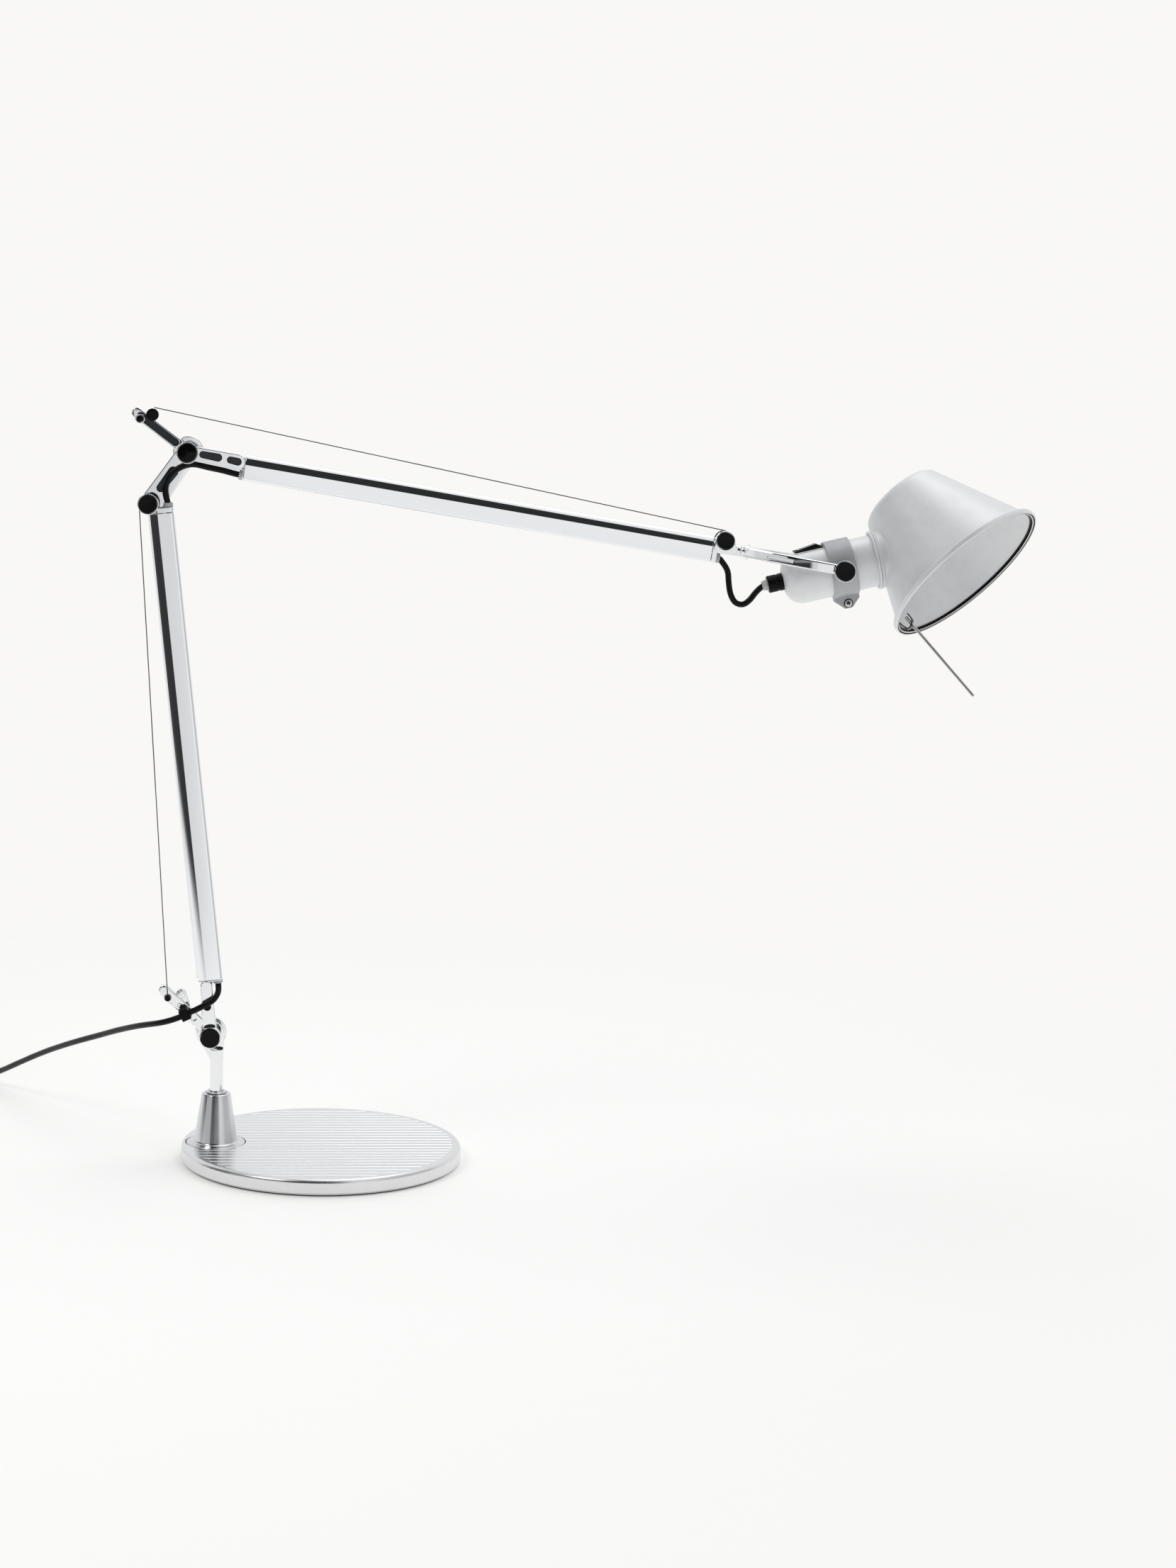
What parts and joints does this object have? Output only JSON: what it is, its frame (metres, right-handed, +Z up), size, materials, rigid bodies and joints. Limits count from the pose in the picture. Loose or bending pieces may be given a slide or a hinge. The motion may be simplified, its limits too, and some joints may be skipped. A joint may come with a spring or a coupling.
{
  "type": "architect desk lamp",
  "caption": "Spring-balanced desk lamp with a grooved disc base, swivelling stem, jointed tube arms with tension cables, a swivelling yoke and a tilting conical shade.",
  "frame": {"origin": "centre of the base's resting face on the table", "axes": "+Z up; the arms lie in the XZ plane and reach towards +X; -Y is the front"},
  "size_m": [0.8908, 0.4235, 0.5335],
  "materials": {
    "polished_aluminium": "polished, clear anodised, mirror-like",
    "satin_aluminium": "fine satin, lightly brushed",
    "matte_silver_paint": "matte silver paint with a fine metallic grain",
    "cast_grey": "matte grey paint on a fine-grained casting",
    "steel": "bright drawn steel",
    "black_plastic": "smooth black moulded plastic",
    "black_rubber": "matte black pad",
    "grey_plastic": "light grey moulded plastic",
    "cord_black": "smooth black flexible sheath",
    "glass": "frosted glass",
    "ceramic": "white glazed ceramic",
    "weight_iron": "as cast"
  },
  "bodies": {
    "base": {"base_pad": "black_rubber", "base_cover": "satin_aluminium", "base_weight": "weight_iron", "hub": "polished_aluminium", "power_cord": "cord_black", "cord_coil": "cord_black", "cord_tie": "black_plastic", "plug": "black_plastic"},
    "stem": {"stem": "polished_aluminium", "lever_anchor_pin": "black_plastic", "cord_clip": "black_plastic", "lower_pivot_bolt": "polished_aluminium", "lower_pivot_cap": "black_plastic", "lower_back_disc": "satin_aluminium", "exit_cord": "cord_black"},
    "lower_arm": {"lower_arm_tube": "polished_aluminium", "lower_foot": "polished_aluminium", "lower_grommet": "grey_plastic", "lower_spring": "steel", "elbow_bracket": "polished_aluminium", "elbow_roller": "black_plastic", "hook_pin": "black_plastic", "lower_pulley_axle": "polished_aluminium", "lower_pulley_cap": "black_plastic", "elbow_bolt": "polished_aluminium", "elbow_cap": "black_plastic", "elbow_back_disc": "satin_aluminium", "elbow_cord": "cord_black"},
    "lower_pulley": {"lower_pulley": "black_plastic"},
    "lower_cable_foot": {"lower_cable_bottom": "steel"},
    "lower_cable_head": {"lower_cable_top": "steel"},
    "upper_arm": {"upper_arm_tube": "polished_aluminium", "upper_foot": "polished_aluminium", "upper_grommet": "grey_plastic", "upper_spring": "steel", "front_fitting": "polished_aluminium", "upper_pulley_axle": "polished_aluminium", "upper_pulley_cap": "black_plastic", "head_cord": "cord_black"},
    "upper_pulley": {"upper_pulley": "black_plastic"},
    "upper_cable_foot": {"upper_cable_rear": "steel"},
    "upper_cable_head": {"upper_cable_front": "steel"},
    "yoke": {"yoke": "polished_aluminium"},
    "head": {"clamp_band": "cast_grey", "clamp_screw": "steel", "socket_housing": "satin_aluminium", "neck_tube": "satin_aluminium", "switch_bezel": "black_plastic", "gland_nut": "black_plastic", "lamp_holder": "ceramic", "bulb": "glass", "head_screw_front": "polished_aluminium", "head_screw_back": "polished_aluminium", "head_cap_front": "black_plastic", "head_cap_back": "black_plastic"},
    "rocker": {"switch_rocker": "black_plastic"},
    "shade": {"shade": "matte_silver_paint", "rim_ring": "steel", "shade_clip": "steel", "shade_rod": "steel"}
  },
  "joints": [
    {"name": "stem_swivel", "type": "hinge", "parent": "base", "child": "stem", "pos_m": [-0.0756, 0, 0], "axis": [0, 0, 1], "range_deg": [-170, 170], "deforming": ["power_cord"]},
    {"name": "lower_arm_tilt", "type": "hinge", "parent": "stem", "child": "lower_arm", "pos_m": [-0.0802, 0, 0.0904], "axis": [0, 1, 0], "range_deg": [-12, 35], "deforming": ["exit_cord", "lower_spring"]},
    {"name": "lower_cable_foot_swing", "type": "hinge", "parent": "stem", "child": "lower_cable_foot", "pos_m": [-0.1108, 0, 0.1166], "axis": [0, 1, 0], "range_deg": [-30, 60]},
    {"name": "lower_cable_head_swing", "type": "hinge", "parent": "lower_arm", "child": "lower_cable_head", "pos_m": [-0.12746, 0, 0.46697], "axis": [0, 1, 0], "range_deg": [-30, 30]},
    {"name": "lower_pulley_turn", "type": "hinge", "parent": "lower_arm", "child": "lower_pulley", "pos_m": [-0.12746, 0, 0.46697], "axis": [0, 1, 0], "range_deg": [-400, 400]},
    {"name": "elbow_tilt", "type": "hinge", "parent": "lower_arm", "child": "upper_arm", "pos_m": [-0.1009, 0, 0.503], "axis": [0, -1, 0], "range_deg": [-25, 60], "deforming": ["elbow_cord", "upper_spring"]},
    {"name": "upper_cable_foot_swing", "type": "hinge", "parent": "lower_arm", "child": "upper_cable_foot", "pos_m": [-0.1255, 0, 0.5282], "axis": [0, -1, 0], "range_deg": [-50, 90]},
    {"name": "upper_cable_head_swing", "type": "hinge", "parent": "upper_arm", "child": "upper_cable_head", "pos_m": [0.27512, 0, 0.45158], "axis": [0, -1, 0], "range_deg": [-30, 30]},
    {"name": "upper_pulley_turn", "type": "hinge", "parent": "upper_arm", "child": "upper_pulley", "pos_m": [0.27512, 0, 0.45158], "axis": [0, -1, 0], "range_deg": [-400, 400]},
    {"name": "yoke_swivel", "type": "hinge", "parent": "upper_arm", "child": "yoke", "pos_m": [0.28718, 0, 0.44425], "axis": [0.9893, 0, -0.1459], "range_deg": [-80, 80], "deforming": ["head_cord"]},
    {"name": "head_tilt", "type": "hinge", "parent": "yoke", "child": "head", "pos_m": [0.35797, 0, 0.4335], "axis": [0, -1, 0], "range_deg": [-35, 35], "deforming": ["head_cord"]},
    {"name": "switch_rock", "type": "hinge", "parent": "head", "child": "rocker", "pos_m": [0.33647, 0, 0.44508], "axis": [0, -1, 0], "range_deg": [0, 10]},
    {"name": "shade_spin", "type": "hinge", "parent": "head", "child": "shade", "pos_m": [0.35797, 0, 0.4335], "axis": [0.9694, 0, 0.2453], "range_deg": [-150, 150]}
  ],
  "couplings": [
    {"joint": "lower_cable_foot_swing", "follows": "lower_arm_tilt", "ratio": 1.0575},
    {"joint": "lower_cable_head_swing", "follows": "lower_arm_tilt", "ratio": 0.0575},
    {"joint": "lower_pulley_turn", "follows": "lower_arm_tilt", "ratio": -5.965},
    {"joint": "upper_cable_foot_swing", "follows": "elbow_tilt", "ratio": 0.9509},
    {"joint": "upper_cable_head_swing", "follows": "elbow_tilt", "ratio": -0.0491},
    {"joint": "upper_pulley_turn", "follows": "elbow_tilt", "ratio": -4.529}
  ]
}
